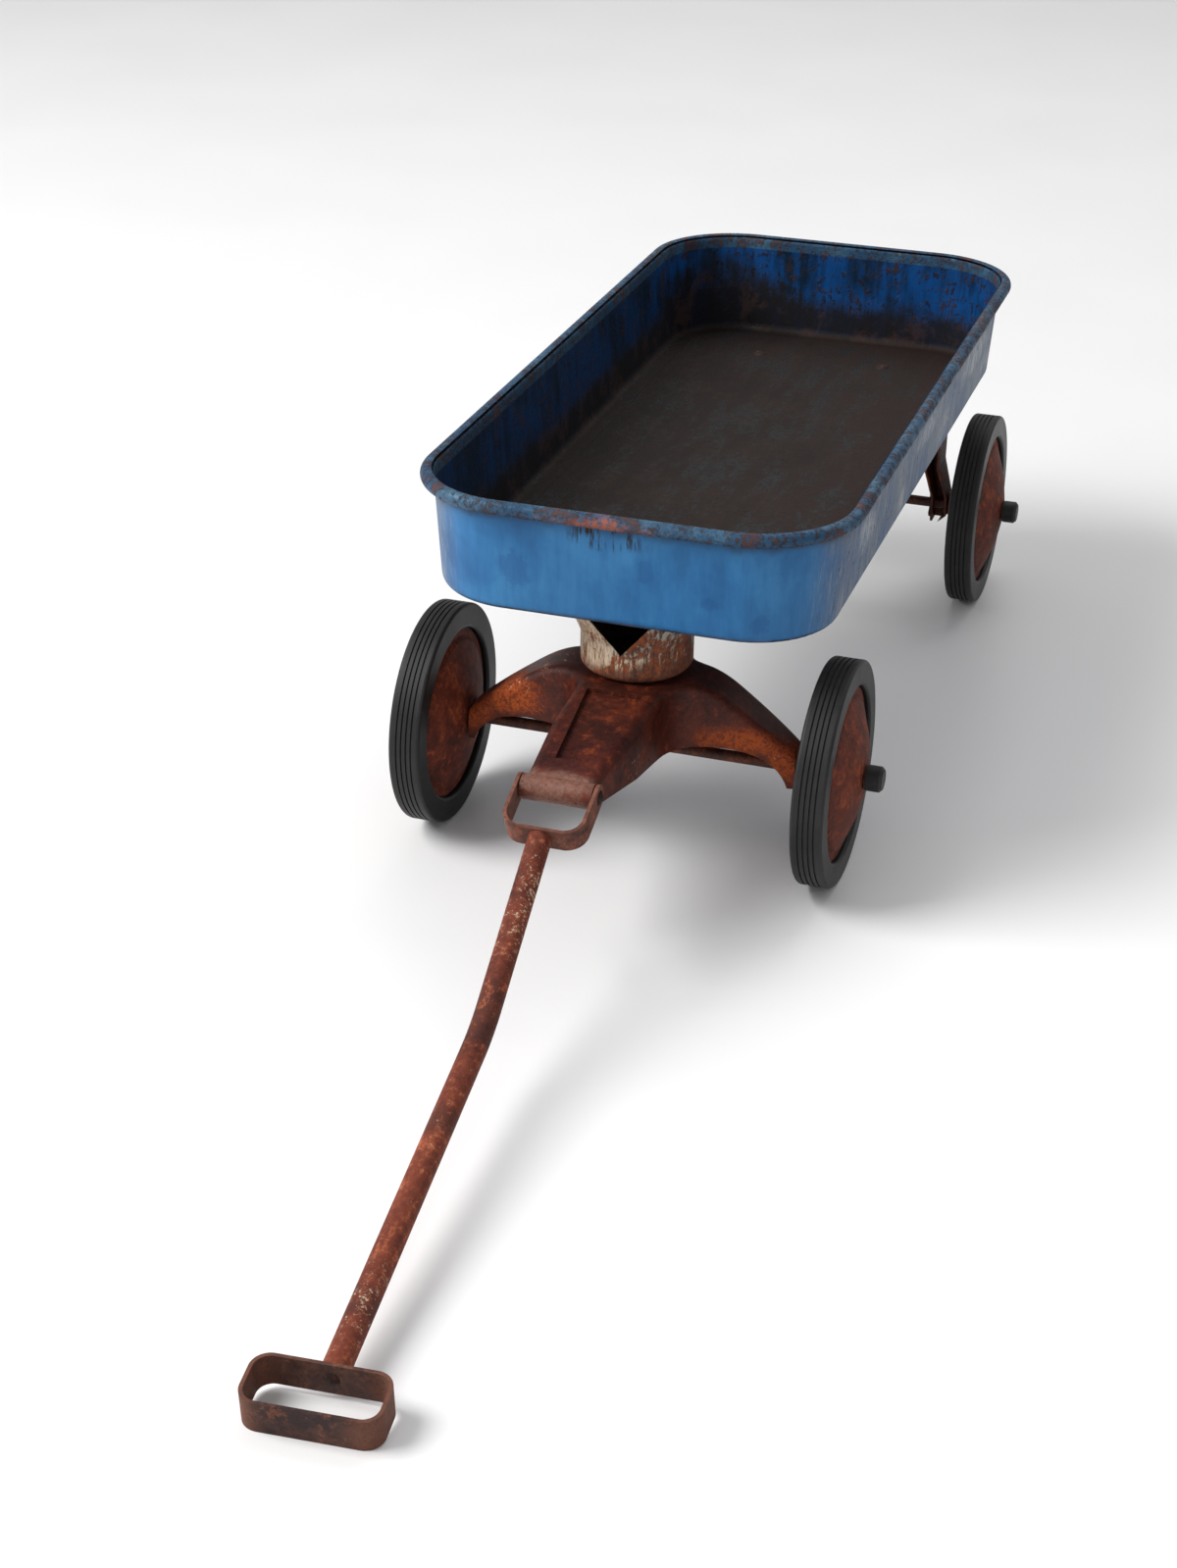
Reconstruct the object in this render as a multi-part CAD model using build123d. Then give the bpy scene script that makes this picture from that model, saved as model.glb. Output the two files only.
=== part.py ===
from build123d import *
from math import asin, atan2, cos, degrees, hypot, radians, sin
import os

# Child's pull wagon, in millimetres. Z is up, the floor is Z = 0 and the front faces -Y.
# Every piece is drawn with the kingpin axis at X = 0, Y = 0. export_piece then moves it by
# frame_shift, which puts the origin under the middle of the wagon's length.

# Wheels
wheel_radius = 101.6
tyre_width = 29.0
tyre_depth = 22.6
tyre_core_depth = 9.0
tyre_shoulder = 3.0
tread_grooves = 4
groove_pitch = 4.6
groove_width = 1.4
groove_depth = 1.6
disc_flat = 8.0
disc_sheet = 1.2
disc_rim_offset = 9.0
disc_shoulder_offset = 12.5
disc_dome_offset = 22.0
disc_dome_radius = 42.0
disc_nose_offset = 27.4
disc_nose_radius = 17.0
disc_bend = 4.0
hub_half_length = 29.0
hub_wall = 2.4
track = 365.4
wheelbase = 670.7

# Axles and what sits on them
axle_radius = 5.3
running_clearance = 0.05
washer_thickness = 1.6
washer_rim = 5.7
axle_play = 0.3
cap_rim = 6.3
cap_length = 14.0
cap_chamfer = 2.6
cap_wall = 2.4

# Tray
tray_half_width = 177.3
tray_front = 75.0
tray_rear_overhang = 89.3
tray_corner = 76.4
tray_sheet = 1.2
tray_edge_radius = 9.0
rim_spread = 7.0
rim_bead_radius = 6.4
rim_gap = 2.4
rim_slit_angle = 45.0
rim_height = 99.1
panel_inset = 22.0
panel_raise = 2.2
panel_corner_inset = 24.4

# Front collar
# collar_rise is from the axle to the collar's bottom, collar_height from there to the tray.
collar_radius = 50.0
collar_rise = 78.4
collar_height = 64.6
collar_sheet = 1.8
collar_edge_radius = 7.0
collar_flare_rise = 33.0
collar_flare = 13.0
collar_flange_width = 36.0
collar_flange_bend = 5.0
collar_notch_rise = 26.0
collar_notch_height = 32.0
collar_notch_half_width = 27.0
collar_bolt_edge = 9.8
collar_bolt_angle = 30.0

# Fasteners
bolt_radius = 3.1
bolt_head_rim = 4.4
bolt_head_height = 3.0
bolt_tail = 3.0
bolt_clearance = 0.2
nut_rim = 3.3
nut_height = 5.0
kingpin_radius = 6.3
kingpin_head_rim = 4.7
kingpin_head_height = 8.0
kingpin_nut_rim = 4.2
kingpin_nut_height = 9.0
kingpin_tail = 6.0
kingpin_washer_rim = 9.7
kingpin_washer_thickness = 2.4
thrust_washer_inset = 12.0
thrust_washer_thickness = 1.4
face_gap = 0.1

# Front fork stamping
# Distances called in run from the fork's outer end towards the middle, rises from the axle.
fork_sheet = 2.0
fork_disc_margin = 7.0
fork_flat_inset = 11.0
fork_arm_root = 32.0
fork_arm_tip = 19.0
fork_mid_in = 53.8
fork_mid_drop = 19.5
fork_tip_drop = 61.0
fork_tip_slope = 42.0
fork_leg_depth = 13.0
fork_foot_width = 6.0
fork_leg_in = 17.8
fork_leg_rise = 5.4
fork_lip_in = 65.8
fork_lip_rise = 19.8
fork_lip_centre_rise = 14.4
fork_round = 9.0
fork_disc_blend = 16.0
tongue_root = 38.0
tongue_tip_inset = 2.0
tongue_root_y = 120.0
tongue_start = 5.0
tongue_blend = 32.0
channel_start = 1.0
channel_end = 32.0
channel_back_half = 25.0
channel_front_half = 14.0
channel_depth = 4.0

# Knuckle, pin and handle
knuckle_y = 214.0
knuckle_rise = 54.4
knuckle_half = 31.0
knuckle_radius = 11.0
pin_radius = 4.0
pin_head_rim = 2.5
pin_head_height = 2.6
pin_head_gap = 0.3
yoke_sheet = 3.0
yoke_gap = 1.2
yoke_length = 50.0
yoke_margin = 1.0
yoke_corner = 16.0
handle_bend = 16.7
handle_skew = 4.5
tube_radius = 10.0
tube_wall = 1.8
upper_length = 190.0
lower_length = 361.0
bend_radius = 170.0
plug_length = 18.0
grip_width = 98.0
grip_depth = 45.0
grip_height = 26.0
grip_sheet = 2.8
grip_corner = 14.0
grip_offset = 3.2
grip_bolt_radius = 3.0
grip_bolt_head_rim = 3.0
grip_bolt_head_height = 2.6

# Rear bracket
rear_leg_width = 40.0
rear_foot_width = 20.0
rear_top_in = 10.3
rear_panel_margin = 13.8
rear_top_depth = 16.5
rear_foot_in = 17.3
rear_foot_flat = 9.0
rear_toe_rise = 8.0
rear_kink_top_rise = 46.4
rear_kink_bottom_rise = 11.4
rear_foot_drop = 18.0
rear_sheet = 2.4
rear_plate_width = 60.0
rear_lip_depth = 14.0
rear_bolt_in = 57.0
cotter_radius = 1.4
cotter_reach = 3.2
cotter_ring_radius = 3.4
cotter_gap = 0.8

# A face whose normal rises less than this counts as an upright wall.
wall_normal = 0.1

# Places that follow from the sizes above
axle_height = wheel_radius
wheel_x = track / 2
disc_radius = wheel_radius - tyre_depth
tyre_core_radius = disc_radius - tyre_core_depth
washer_radius = axle_radius + washer_rim
cap_radius = axle_radius + cap_rim
hub_radius = axle_radius + running_clearance + hub_wall
hub_inner_x = wheel_x - hub_half_length
hub_outer_x = wheel_x + hub_half_length
carrier_x = hub_inner_x - washer_thickness - axle_play
cap_x = hub_outer_x + washer_thickness + axle_play
axle_half = cap_x + cap_length - cap_wall
collar_bottom = axle_height + collar_rise
tray_bottom = collar_bottom + collar_height
collar_flare_radius = collar_radius + collar_flare
collar_flange_radius = collar_radius + collar_flange_width
collar_bolt_circle = collar_flange_radius - collar_bolt_edge
collar_bolt_x = collar_bolt_circle * cos(radians(collar_bolt_angle))
collar_bolt_y = collar_bolt_circle * sin(radians(collar_bolt_angle))
bolt_head_radius = bolt_radius + bolt_head_rim
nut_radius = bolt_radius + nut_rim
kingpin_head_radius = kingpin_radius + kingpin_head_rim
kingpin_nut_radius = kingpin_radius + kingpin_nut_rim
kingpin_washer_radius = kingpin_radius + kingpin_washer_rim
thrust_washer_radius = collar_radius - thrust_washer_inset
fork_deck = collar_bottom - thrust_washer_thickness - 2 * face_gap
deck_under = fork_deck - fork_sheet
kingpin_washer_z = deck_under - face_gap - kingpin_washer_thickness
fork_disc_radius = collar_radius + fork_disc_margin
fork_flat_half = fork_disc_radius - fork_flat_inset
fork_mid_x = carrier_x - fork_mid_in
fork_leg_x = carrier_x - fork_leg_in
fork_leg_height = axle_height + fork_leg_rise
fork_lip_x = carrier_x - fork_lip_in
fork_lip_height = axle_height + fork_lip_rise
fork_lip_centre = axle_height + fork_lip_centre_rise
leg_foot_z = axle_height - fork_leg_depth
knuckle_z = axle_height + knuckle_rise
tongue_tip = knuckle_half - tongue_tip_inset
tongue_end_z = knuckle_z + knuckle_radius
tongue_slope_start = fork_disc_radius + tongue_start
channel_back = tongue_slope_start + channel_start
channel_front = knuckle_y - channel_end
tray_top = tray_bottom + rim_height
floor_top = tray_bottom + tray_sheet
panel_top = floor_top + panel_raise
panel_under = tray_bottom + panel_raise
panel_corner = tray_corner - panel_corner_inset
tray_rear = wheelbase + tray_rear_overhang
tray_length = tray_front + tray_rear
tray_centre = (tray_rear - tray_front) / 2
bead_offset = rim_spread + rim_bead_radius - tray_sheet
yoke_inner = knuckle_half + yoke_gap
yoke_outer = yoke_inner + yoke_sheet
yoke_width = 2 * (tube_radius + yoke_margin)
pin_hole_radius = pin_radius + running_clearance
pin_head_radius = pin_radius + pin_head_rim
grip_bolt_head_radius = grip_bolt_radius + grip_bolt_head_rim
panel_half_width = tray_half_width - panel_inset
rear_top_outer_x = min(carrier_x - rear_top_in, panel_half_width - rear_panel_margin)
rear_top_inner_x = rear_top_outer_x - rear_top_depth
rear_foot_inner_x = carrier_x - rear_foot_in
rear_foot_z = axle_height - rear_foot_drop
rear_kink_top = axle_height + rear_kink_top_rise
rear_kink_bottom = axle_height + rear_kink_bottom_rise
rear_bolt_x = rear_top_inner_x - rear_bolt_in
cotter_x = rear_foot_inner_x - cotter_gap - cotter_radius
cotter_length = 2 * (axle_radius + cotter_reach)

# The handle lies with the front lower edge of its grip on the floor. Its upper run slopes down
# by handle_slope, found from the height of the pin, and its lower run by handle_bend less.
steep_run = yoke_length + upper_length
shallow_run = lower_length + grip_depth
bend = radians(handle_bend)
sine_part = steep_run + shallow_run * cos(bend) + grip_height / 2 * sin(bend)
cosine_part = grip_height / 2 * cos(bend) - shallow_run * sin(bend)
handle_slope = degrees(
    asin(knuckle_z / hypot(sine_part, cosine_part)) - atan2(cosine_part, sine_part)
)
lower_slope = handle_slope - handle_bend
root_reach = yoke_length * cos(radians(handle_slope))
grip_reach = upper_length * cos(radians(handle_slope)) + shallow_run * cos(radians(lower_slope))
grip_toe = grip_height / 2 * sin(radians(lower_slope))
corner_reach = (grip_width / 2 - grip_corner + grip_offset) * sin(radians(handle_skew))
front_reach = (
    knuckle_y + root_reach + (grip_reach + grip_toe) * cos(radians(handle_skew)) + corner_reach
)
rear_reach = tray_rear + bead_offset + rim_bead_radius
frame_shift = (front_reach - rear_reach) / 2


def export_piece(shape, name):
    export_step(Pos(0, frame_shift, 0) * shape, f"parts/{name}.step")


def both_sides(piece):
    return Compound(children=[*piece.solids(), *mirror(piece, about=Plane.YZ).solids()])


def group(pieces):
    return Compound(children=pieces)


def along_x(shape, x, y, z):
    return Pos(x, y, z) * Rot(0, 90, 0) * shape


def ring(outer, inner, length):
    return Cylinder(outer, length) - Cylinder(inner, length)


def hexagon(radius, height, bore):
    blank = extrude(RegularPolygon(radius, 6), height)
    return blank - Pos(0, 0, height / 2) * Cylinder(bore, height)


def domed_head(radius, height):
    sphere = (radius**2 + height**2) / (2 * height)
    return Pos(0, 0, height - sphere) * Sphere(sphere) & extrude(Circle(radius), height)


def side_profile(points, half_width):
    # Extrudes an outline of (x, z) points by half_width to both sides of Y = 0.
    return extrude(Plane.XZ * make_face(Polyline(*points, close=True)), half_width, both=True)


def end_profile(points, half_width):
    # Extrudes an outline of (y, z) points by half_width to both sides of X = 0.
    return extrude(Plane.YZ * make_face(Polyline(*points, close=True)), half_width, both=True)


# Tray


def rounded_outline(grow, height):
    width = 2 * (tray_half_width + grow)
    length = tray_length + 2 * grow
    return Pos(0, tray_centre, height) * RectangleRounded(width, length, tray_corner + grow)


def tray_blank(inset, base):
    low = rounded_outline(-inset, base).face()
    high = rounded_outline(rim_spread - inset, tray_top).face()
    body = loft([low, high], ruled=True)
    return fillet(body.edges().group_by(Axis.Z)[0], tray_edge_radius - inset)


def floor_panel(base):
    width = 2 * (tray_half_width - panel_inset)
    length = tray_length - 2 * panel_inset
    low = RectangleRounded(width, length, panel_corner)
    high = RectangleRounded(
        width - 2 * panel_raise, length - 2 * panel_raise, panel_corner - panel_raise
    )
    low_face = (Pos(0, tray_centre, base) * low).face()
    high_face = (Pos(0, tray_centre, base + panel_raise) * high).face()
    return loft([low_face, high_face], ruled=True)


def rim_bead():
    # The sheet rolls outwards over the rim and stops just short of the wall below it.
    path = rounded_outline(bead_offset, tray_top).wire()
    outward = (path % 0).cross(Vector(0, 0, 1))
    plane = Plane(origin=path @ 0, x_dir=outward, z_dir=path % 0)
    section = Circle(rim_bead_radius) - Circle(rim_bead_radius - tray_sheet)
    slit = rim_bead_radius * cos(radians(rim_slit_angle))
    slit_box = Rectangle(2 * tray_sheet + rim_gap, rim_gap)
    section -= Pos(-slit, -slit) * Rot(0, 0, rim_slit_angle) * slit_box
    return sweep(plane * section, path=path)


def make_tray(bolt_holes):
    shell = tray_blank(0, tray_bottom) - tray_blank(tray_sheet, floor_top)
    tray = shell + floor_panel(floor_top) - floor_panel(tray_bottom) + rim_bead()
    for x, y in bolt_holes:
        tray -= Pos(x, y, panel_under) * Cylinder(bolt_radius + bolt_clearance, 4 * tray_sheet)
    return tray


# Front collar and kingpin


def make_collar(bolt_holes):
    half_sheet = collar_sheet / 2
    flange_z = panel_under - half_sheet
    line = FilletPolyline(
        (kingpin_radius, collar_bottom + half_sheet),
        (collar_radius - half_sheet, collar_bottom + half_sheet),
        (collar_radius - half_sheet, collar_bottom + collar_flare_rise),
        (collar_flare_radius, flange_z),
        (collar_flange_radius, flange_z),
        radius=[collar_edge_radius, collar_edge_radius, collar_flange_bend],
    )
    collar = revolve(Plane.XZ * trace(line, collar_sheet), Axis.Z)
    notch_bottom = collar_bottom + collar_notch_rise
    notch_top = notch_bottom + collar_notch_height
    notch = [
        (-collar_notch_half_width, notch_top),
        (collar_notch_half_width, notch_top),
        (0, notch_bottom),
    ]
    collar -= Pos(0, -collar_radius, 0) * side_profile(notch, collar_radius / 2)
    # In front of the raised floor panel the flange is cut away, clear of the tray's border.
    panel_front = tray_front - panel_inset - 2 * panel_raise
    cut = collar_flange_radius
    collar -= Pos(0, -panel_front - cut / 2, notch_top + cut / 2) * Box(2 * cut, cut, cut)
    for x, y in bolt_holes:
        collar -= Pos(x, y, flange_z) * Cylinder(bolt_radius + bolt_clearance, 2 * collar_sheet)
    return collar


def make_kingpin():
    head_z = collar_bottom + collar_sheet
    tip_z = kingpin_washer_z - kingpin_nut_height - kingpin_tail
    shank = Pos(0, 0, (head_z + tip_z) / 2) * Cylinder(kingpin_radius, head_z - tip_z)
    return shank + Pos(0, 0, head_z) * extrude(
        RegularPolygon(kingpin_head_radius, 6), kingpin_head_height
    )


def make_kingpin_washer():
    middle = kingpin_washer_z + kingpin_washer_thickness / 2
    return Pos(0, 0, middle) * ring(
        kingpin_washer_radius, kingpin_radius, kingpin_washer_thickness
    )


def make_kingpin_nut():
    base = kingpin_washer_z - kingpin_nut_height
    return Pos(0, 0, base) * hexagon(kingpin_nut_radius, kingpin_nut_height, kingpin_radius)


def make_thrust_washer():
    middle = fork_deck + face_gap + thrust_washer_thickness / 2
    return Pos(0, 0, middle) * ring(
        thrust_washer_radius, kingpin_radius + running_clearance, thrust_washer_thickness
    )


def tray_bolt(x, y, clamped):
    # A round-headed bolt from inside the tray through the sheet that it clamps.
    length = tray_sheet + clamped + nut_height + bolt_tail
    shank = Pos(0, 0, -length / 2) * Cylinder(bolt_radius, length)
    return Pos(x, y, panel_top) * (domed_head(bolt_head_radius, bolt_head_height) + shank)


def tray_nut(x, y, clamped):
    base = panel_under - clamped - nut_height
    return Pos(x, y, base) * hexagon(nut_radius, nut_height, bolt_radius + running_clearance)


# Front fork


def fork_plan(inset):
    arm = Polyline(
        (-carrier_x, -fork_arm_tip),
        (-tongue_root, -fork_arm_root),
        (-tongue_root, -tongue_root_y),
        (-tongue_tip, -knuckle_y),
        (tongue_tip, -knuckle_y),
        (tongue_root, -tongue_root_y),
        (tongue_root, -fork_arm_root),
        (carrier_x, -fork_arm_tip),
        (carrier_x, fork_arm_tip),
        (0, fork_arm_root),
        (-carrier_x, fork_arm_tip),
        close=True,
    )
    plan = make_face(arm)
    roots = [v for v in plan.vertices() if abs(v.Y + fork_arm_root) < 1]
    plan = fillet(roots, tongue_blend)
    plan = plan + (Circle(fork_disc_radius) & Pos(0, fork_disc_radius) * Rectangle(
        2 * fork_disc_radius, 2 * fork_disc_radius
    ))
    creases = [v for v in plan.vertices() if fork_arm_tip + 1 < v.Y < fork_arm_root + 1]
    plan = fillet([v for v in creases if abs(v.X) > 1], fork_disc_blend)
    return offset(plan, -inset) if inset else plan


def tongue_slope(inset):
    # Keeps what lies under the deck, under the sloping tongue and above its lower edge.
    top = fork_deck - inset
    keep = [
        (fork_disc_radius, top),
        (-tongue_slope_start, top),
        (-knuckle_y, tongue_end_z - inset),
        (-knuckle_y, knuckle_z - knuckle_radius),
        (-fork_disc_radius, fork_lip_centre),
        (-fork_disc_radius, 0),
        (fork_disc_radius, 0),
    ]
    return end_profile(keep, carrier_x)


def fork_blank(inset):
    # The stamping as a solid block: the arch from the front, the outline from above and the
    # slope of the tongue from the side, with the upper edge rounded over.
    top = fork_deck - inset
    reach = carrier_x - inset
    tip_top = fork_deck - fork_tip_drop - inset
    fall = radians(fork_tip_slope)
    curve = Spline(
        (fork_flat_half, top),
        (fork_mid_x, top - fork_mid_drop),
        (reach, tip_top),
        tangents=[(1, 0), (cos(fall), -sin(fall))],
    )
    arch = [
        curve,
        mirror(curve, about=Plane.YZ),
        Line((-fork_flat_half, top), (fork_flat_half, top)),
        Polyline((reach, tip_top), (reach, 0), (-reach, 0), (-reach, tip_top)),
    ]
    block = extrude(Plane.XZ * make_face(arch), knuckle_y + fork_disc_radius, both=True)
    block &= extrude(fork_plan(inset), fork_deck)
    block &= tongue_slope(inset)
    skin = block.faces().filter_by(lambda face: face.normal_at().Z > wall_normal)
    walls = block.faces().filter_by(lambda face: abs(face.normal_at().Z) < wall_normal)
    upper = [edge for edge in skin.edges() if edge in walls.edges()]
    return fillet(upper, fork_round - inset)


def lip_arch():
    # The hollow under the arms, up to the curved lower edge of the front and back lips.
    foot_x = carrier_x - fork_foot_width
    curve = Spline(
        (foot_x, leg_foot_z),
        (fork_leg_x, fork_leg_height),
        (fork_lip_x, fork_lip_height),
        (tongue_root, fork_lip_centre),
    )
    arch = [
        curve,
        mirror(curve, about=Plane.YZ),
        Line((-tongue_root, fork_lip_centre), (tongue_root, fork_lip_centre)),
        Line((-foot_x, leg_foot_z), (foot_x, leg_foot_z)),
    ]
    return extrude(Plane.XZ * make_face(arch), fork_disc_radius + fork_sheet, both=True)


def channel_block(extra_depth, grow):
    # The pressed channel down the middle of the tongue, narrower towards the knuckle.
    plan = Polyline(
        (-channel_back_half - grow, -channel_back + grow),
        (channel_back_half + grow, -channel_back + grow),
        (channel_front_half + grow, -channel_front - grow),
        (-channel_front_half - grow, -channel_front - grow),
        close=True,
    )
    depth = channel_depth + extra_depth
    fall = (fork_deck - tongue_end_z) / (knuckle_y - tongue_slope_start)
    front_z = fork_deck - fall * (channel_front - tongue_slope_start)
    side = [
        (-channel_back + grow, fork_deck - depth),
        (-channel_front - grow, front_z - depth),
        (-channel_front - grow, fork_deck + depth),
        (-channel_back + grow, fork_deck + depth),
    ]
    return extrude(make_face(plan), 2 * fork_deck) & end_profile(side, 2 * channel_back_half)


def make_fork():
    shell = fork_blank(0) - Pos(0, 0, leg_foot_z / 2) * Box(
        2 * knuckle_y, 2 * knuckle_y, leg_foot_z
    )
    hollow = fork_blank(fork_sheet) - channel_block(fork_sheet, fork_sheet)
    shell = shell - hollow - lip_arch() - channel_block(0, 0)
    barrel = along_x(Cylinder(knuckle_radius, 2 * knuckle_half), 0, -knuckle_y, knuckle_z)
    fork = shell + barrel
    fork -= along_x(Cylinder(pin_hole_radius, 3 * knuckle_half), 0, -knuckle_y, knuckle_z)
    fork -= along_x(Cylinder(axle_radius, 2 * axle_half), 0, 0, axle_height)
    return fork - Pos(0, 0, fork_deck) * Cylinder(
        kingpin_radius + running_clearance, 4 * fork_sheet
    )


def make_handle_pin():
    head_x = yoke_outer + pin_head_gap
    shank = along_x(Cylinder(pin_radius, 2 * head_x), 0, -knuckle_y, knuckle_z)
    head = domed_head(pin_head_radius, pin_head_height)
    right = Pos(head_x, -knuckle_y, knuckle_z) * Rot(0, 90, 0) * head
    return shank + right + mirror(right, about=Plane.YZ)


# Handle


def handle_place():
    # The pin axis, with -Y turned down along the handle's upper run.
    return Pos(0, -knuckle_y, knuckle_z) * Rot(handle_slope, 0, 0)


def root_place():
    # The yoke's crossbar, where the tube starts, turned sideways by the handle's skew.
    root = handle_place() * Pos(0, -yoke_length, 0)
    return Pos(root.position) * Rot(0, 0, handle_skew)


def tube_path():
    upper = (0, -upper_length * cos(radians(handle_slope)), -upper_length * sin(radians(handle_slope)))
    end = (
        0,
        upper[1] - lower_length * cos(radians(lower_slope)),
        upper[2] - lower_length * sin(radians(lower_slope)),
    )
    start = (0, yoke_sheet * cos(radians(handle_slope)), yoke_sheet * sin(radians(handle_slope)))
    return FilletPolyline(start, upper, end, radius=bend_radius)


def tube_solid(radius):
    path = tube_path()
    plane = Plane(origin=path @ 0, z_dir=path % 0)
    return root_place() * sweep(plane * Circle(radius), path=path)


def make_yoke():
    middle = yoke_inner + yoke_sheet / 2
    back = knuckle_radius
    front = yoke_length - yoke_sheet / 2
    line = FilletPolyline(
        (-middle, back), (-middle, -front), (middle, -front), (middle, back), radius=yoke_corner
    )
    strap = extrude(trace(line, yoke_sheet), yoke_width / 2, both=True)
    ear = along_x(Cylinder(yoke_width / 2, 3 * yoke_outer), 0, 0, 0)
    ahead = Pos(0, -yoke_length, 0) * Box(3 * yoke_outer, 2 * yoke_length, yoke_width)
    strap = strap & (ear + ahead)
    strap -= along_x(Cylinder(pin_radius + running_clearance, 3 * yoke_outer), 0, 0, 0)
    return handle_place() * strap - tube_solid(tube_radius)


def grip_place():
    # The tube's far end, with -Y along the lower run.
    path = tube_path()
    return root_place() * Pos(path @ 1) * Rot(lower_slope, 0, 0)


def make_grip():
    # The strap's loop sits a little to one side of the tube, towards the wagon's right.
    centre = Pos(-grip_offset, -grip_depth / 2, 0)
    outer = RectangleRounded(grip_width, grip_depth, grip_corner)
    inner = RectangleRounded(
        grip_width - 2 * grip_sheet, grip_depth - 2 * grip_sheet, grip_corner - grip_sheet
    )
    loop = extrude(outer - inner, grip_height / 2, both=True)
    hole = Rot(90, 0, 0) * Cylinder(grip_bolt_radius, 2 * grip_corner)
    return grip_place() * (centre * loop - hole)


def make_grip_bolt():
    length = grip_sheet + plug_length
    shank = Pos(0, 0, length / 2) * Cylinder(grip_bolt_radius, length)
    head = Rot(180, 0, 0) * domed_head(grip_bolt_head_radius, grip_bolt_head_height)
    return grip_place() * Pos(0, -grip_sheet, 0) * Rot(-90, 0, 0) * (head + shank)


def make_tube_plug():
    bore = ring(tube_radius - tube_wall - running_clearance, grip_bolt_radius, plug_length)
    return grip_place() * Pos(0, plug_length / 2, 0) * Rot(90, 0, 0) * bore


# Rear bracket


def leg_outline(inset):
    # One kinked leg seen from the front, between its inner and outer flanges.
    top = panel_under - rear_sheet
    foot = rear_foot_z - inset
    return [
        (rear_top_inner_x + inset, top),
        (rear_top_inner_x + inset, rear_kink_top),
        (rear_foot_inner_x + inset, rear_kink_bottom),
        (rear_foot_inner_x + inset, foot),
        (rear_foot_inner_x + rear_foot_flat - inset, foot),
        (carrier_x - inset, rear_foot_z + rear_toe_rise),
        (carrier_x - inset, rear_kink_bottom),
        (rear_top_outer_x - inset, rear_kink_top),
        (rear_top_outer_x - inset, top),
    ]


def leg_taper(shift):
    # The leg seen from the side, narrower towards its foot, moved forward by shift.
    half = rear_leg_width / 2
    foot_half = rear_foot_width / 2
    return [
        (-half - shift, panel_under),
        (-half - shift, rear_kink_top),
        (-foot_half - shift, rear_foot_z - shift),
        (foot_half - shift, rear_foot_z - shift),
        (half - shift, rear_kink_top),
        (half - shift, panel_under),
    ]


def make_leg():
    # A channel with its web at the back, open to the front and at the foot.
    solids = []
    for inset in (0, rear_sheet):
        outline = side_profile(leg_outline(inset), rear_leg_width)
        solids.append(outline & end_profile(leg_taper(inset), carrier_x))
    leg = solids[0] - solids[1]
    return leg - along_x(Cylinder(axle_radius, 2 * carrier_x), 0, 0, axle_height)


def make_rear_bracket():
    leg = make_leg()
    top = panel_under
    span = 2 * rear_top_outer_x
    plate = Pos(0, 0, top - rear_sheet / 2) * Box(span, rear_plate_width, rear_sheet)
    lip_y = (rear_plate_width - rear_sheet) / 2
    lip = Pos(0, lip_y, top - rear_lip_depth / 2) * Box(
        span - 2 * rear_lip_depth, rear_sheet, rear_lip_depth
    )
    bracket = plate + lip + mirror(lip, about=Plane.XZ) + leg + mirror(leg, about=Plane.YZ)
    for x in (-rear_bolt_x, rear_bolt_x):
        bracket -= Pos(x, 0, top) * Cylinder(bolt_radius + bolt_clearance, 4 * rear_sheet)
    return Pos(0, wheelbase, 0) * bracket


def make_cotter():
    # A split pin through the axle, just inside the rear leg.
    pin = Pos(cotter_x, 0, axle_height) * Cylinder(cotter_radius, cotter_length)
    eye_z = axle_height - cotter_length / 2 - cotter_ring_radius
    eye = Pos(cotter_x, 0, eye_z) * Rot(0, 90, 0) * Torus(cotter_ring_radius, cotter_radius)
    return pin + eye


# Axles, washers and caps, drawn at the front and moved back for the rear


def axle_holes(shape):
    for x in (-cotter_x, cotter_x):
        shape -= Pos(x, 0, axle_height) * Cylinder(cotter_radius, 4 * axle_radius)
    return shape


def make_axle():
    return along_x(Cylinder(axle_radius, 2 * axle_half), 0, 0, axle_height)


def make_washers():
    disc = ring(washer_radius, axle_radius, washer_thickness)
    inner = along_x(disc, carrier_x + washer_thickness / 2, 0, axle_height)
    outer = along_x(disc, cap_x - washer_thickness / 2, 0, axle_height)
    return both_sides(inner + outer)


def make_caps():
    body = Cylinder(cap_radius, cap_length)
    body = chamfer(body.edges().group_by(Axis.Z)[-1], cap_chamfer)
    body -= Pos(0, 0, -cap_wall) * Cylinder(axle_radius, cap_length)
    return both_sides(along_x(body, cap_x + cap_length / 2, 0, axle_height))


# Wheel, drawn about the X axis with its middle at X = 0 and its outer face towards +X


def make_tyre():
    half = tyre_width / 2
    core = disc_rim_offset - disc_sheet / 2
    section = Polyline(
        (tyre_core_radius, -core),
        (disc_radius, -core),
        (disc_radius, -half),
        (wheel_radius, -half),
        (wheel_radius, half),
        (disc_radius, half),
        (disc_radius, core),
        (tyre_core_radius, core),
        close=True,
    )
    face = make_face(section)
    face = fillet(face.vertices().filter_by(lambda v: abs(v.Y) > (core + half) / 2), tyre_shoulder)
    for index in range(tread_grooves):
        y = (index - (tread_grooves - 1) / 2) * groove_pitch
        face -= Pos(wheel_radius, y) * Rectangle(2 * groove_depth, groove_width)
    return revolve(Plane.XY * face, Axis.Y)


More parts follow.
